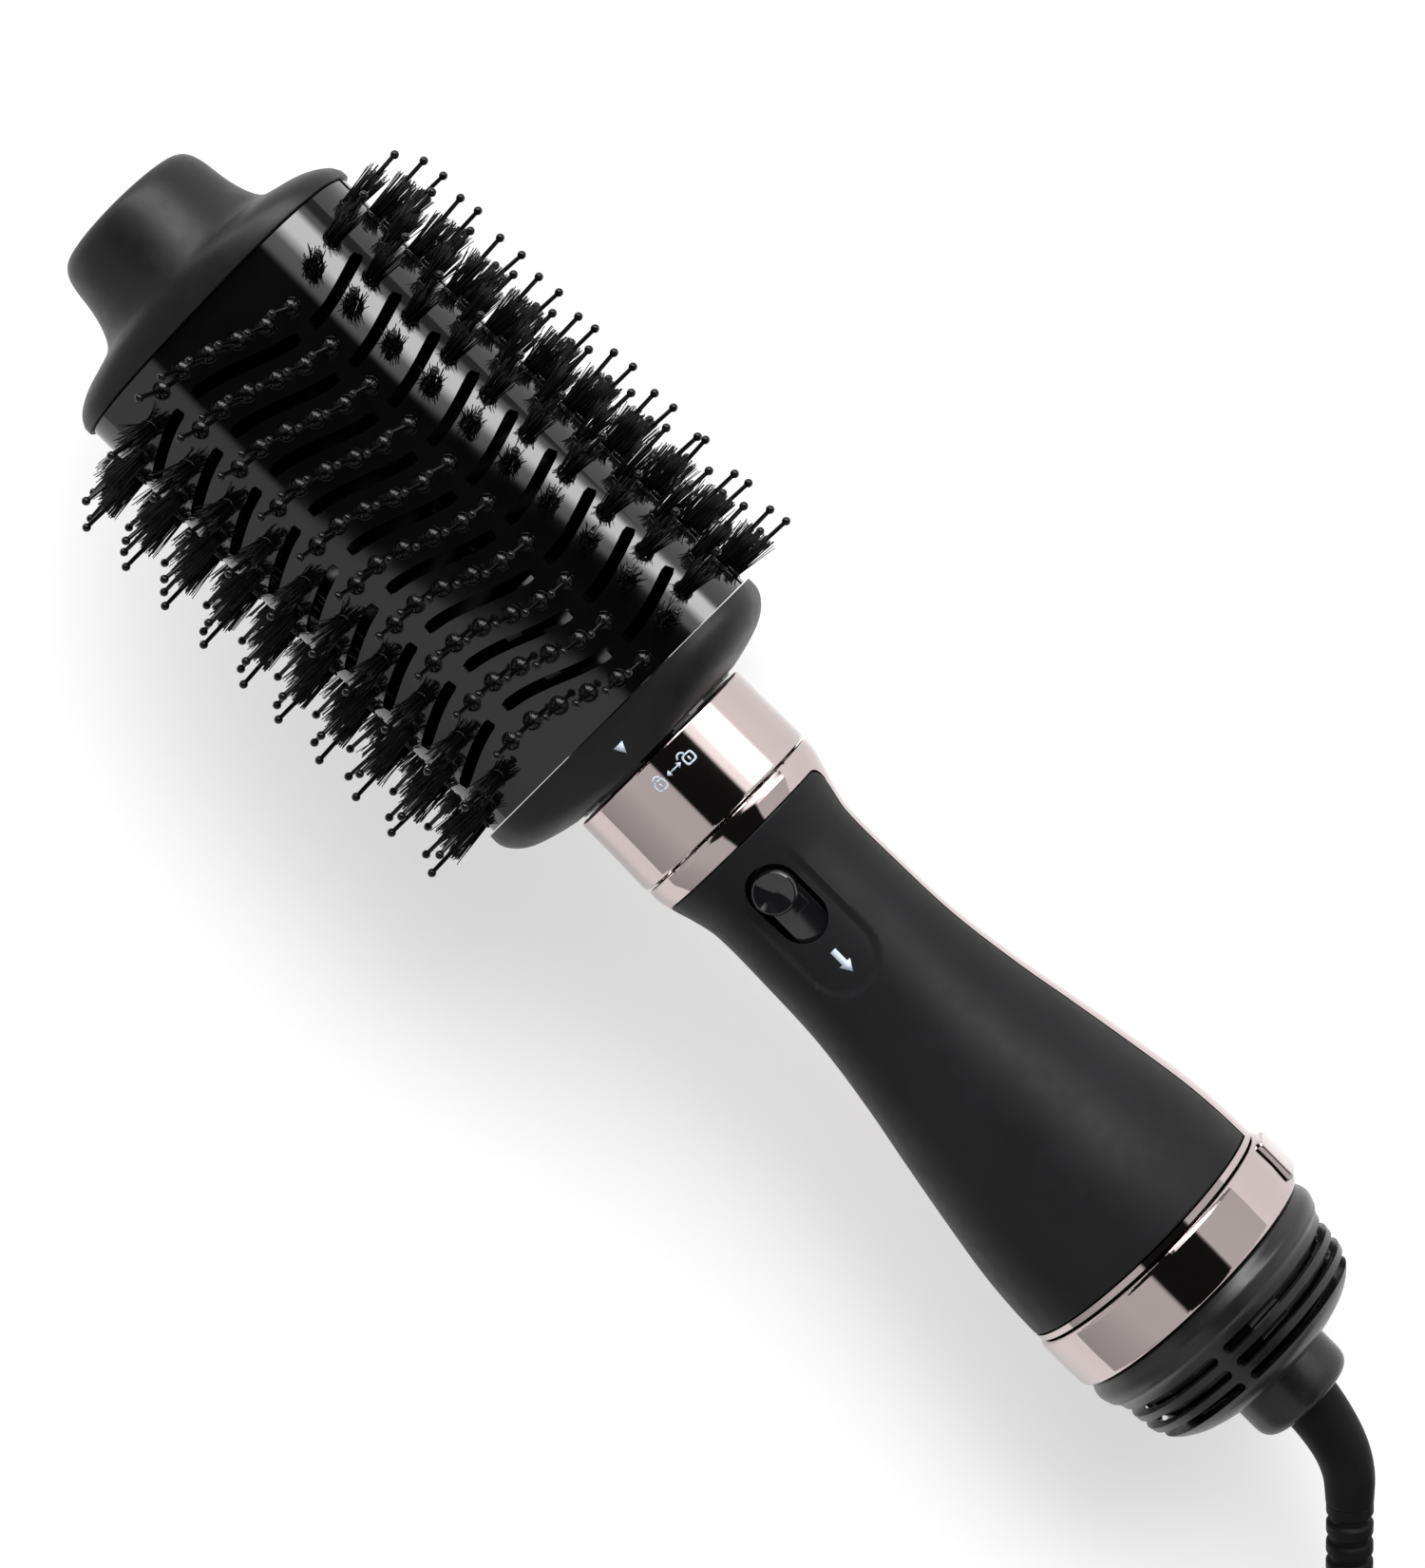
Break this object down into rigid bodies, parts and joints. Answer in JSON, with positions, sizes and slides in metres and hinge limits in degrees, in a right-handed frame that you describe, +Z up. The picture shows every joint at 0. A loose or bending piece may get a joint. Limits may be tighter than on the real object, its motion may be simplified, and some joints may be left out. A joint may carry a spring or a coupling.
{
  "type": "hot air brush",
  "caption": "Corded hot air brush with a detachable oval vented bristle head, cool tip, twist-lock neck, rotary selector and finned air intake.",
  "frame": {"origin": "on the table under the middle of the tool without its cord", "axes": "+Z up out of the front face, +X towards the cool tip"},
  "size_m": [0.6204, 0.1195, 0.0912],
  "materials": {
    "soft_touch_black": "soft-touch matte",
    "barrel_black": "black metallic gloss",
    "gloss_black": "moulded gloss",
    "rose_chrome": "rose black-gold plating",
    "nylon_black": "satin nylon",
    "cord_black": "matte PVC",
    "plug_black": "fine grain",
    "signal_red": "moulded",
    "steel": "satin",
    "brass": "drawn",
    "nichrome": "heat-tinted wire",
    "mica": "pressed mica",
    "board_green": "solder mask"
  },
  "bodies": {
    "cord_set": {"strain_relief": "cord_black", "cord_lead": "cord_black", "cord_coil": "cord_black", "cord_tail": "cord_black", "cord_tie": "cord_black", "plug_body": "plug_black", "plug_blade_left": "brass", "plug_blade_right": "brass"},
    "test_key": {"test_button": "signal_red"},
    "reset_key": {"reset_button": "plug_black"},
    "handle": {"neck_collar": "rose_chrome", "spigot": "nylon_black", "outlet_grille": "nylon_black", "heater_frame": "mica", "heater_coil": "nichrome", "thermal_fuse": "steel", "front_cover": "soft_touch_black", "back_shell": "rose_chrome", "shell_screw_1": "steel", "shell_screw_2": "steel", "latch_spring": "steel", "spring_post": "nylon_black", "motor_can": "steel", "motor_mount": "nylon_black", "fan_shroud": "nylon_black", "circuit_board": "board_green", "rotary_switch": "nylon_black", "capacitor": "signal_red", "tail_vent": "gloss_black", "filter_screen": "nylon_black", "cord_gland": "gloss_black", "internal_lead": "cord_black"},
    "bayonet": {"bayonet_ring": "nylon_black"},
    "head": {"front_cap": "soft_touch_black", "tip_disc": "soft_touch_black", "barrel_front_shell": "barrel_black", "barrel_back_shell": "barrel_black", "front_pin_pad": "nylon_black", "back_pin_pad": "nylon_black", "left_bristle_strip": "nylon_black", "right_bristle_strip": "nylon_black", "rear_cap": "soft_touch_black"},
    "release": {"release_slider": "gloss_black"},
    "fan": {"impeller": "nylon_black"},
    "selector": {"selector_ring": "rose_chrome"}
  },
  "joints": [
    {"name": "cord_swivel", "type": "hinge", "parent": "cord_set", "child": "handle", "pos_m": [-0.18539, 0, 0.03092], "axis": [0.9986, 0, 0.053], "range_deg": [-180, 180]},
    {"name": "test_press", "type": "slide", "parent": "cord_set", "child": "test_key", "axis": [0, 0, -1], "range_m": [0, 0.001], "stiffness_N_per_m": 600},
    {"name": "reset_press", "type": "slide", "parent": "cord_set", "child": "reset_key", "axis": [0, 0, -1], "range_m": [0, 0.001], "stiffness_N_per_m": 600},
    {"name": "head_twist", "type": "hinge", "parent": "handle", "child": "bayonet", "pos_m": [0.02172, 0, 0.04192], "axis": [0.9986, 0, 0.053], "range_deg": [0, 22]},
    {"name": "head_pull", "type": "slide", "parent": "bayonet", "child": "head", "axis": [0.9986, 0, 0.053], "range_m": [0, 0.06]},
    {"name": "release_slide", "type": "slide", "parent": "handle", "child": "release", "axis": [-0.9986, 0, -0.053], "range_m": [0, 0.0085], "stiffness_N_per_m": 150, "deforming": ["latch_spring"]},
    {"name": "fan_spin", "type": "hinge", "parent": "handle", "child": "fan", "pos_m": [-0.1125, 0, 0.03479], "axis": [0.9986, 0, 0.053], "continuous": true},
    {"name": "selector_turn", "type": "hinge", "parent": "handle", "child": "selector", "pos_m": [-0.14106, 0, 0.03327], "axis": [0.9986, 0, 0.053], "range_deg": [-50, 25]}
  ]
}
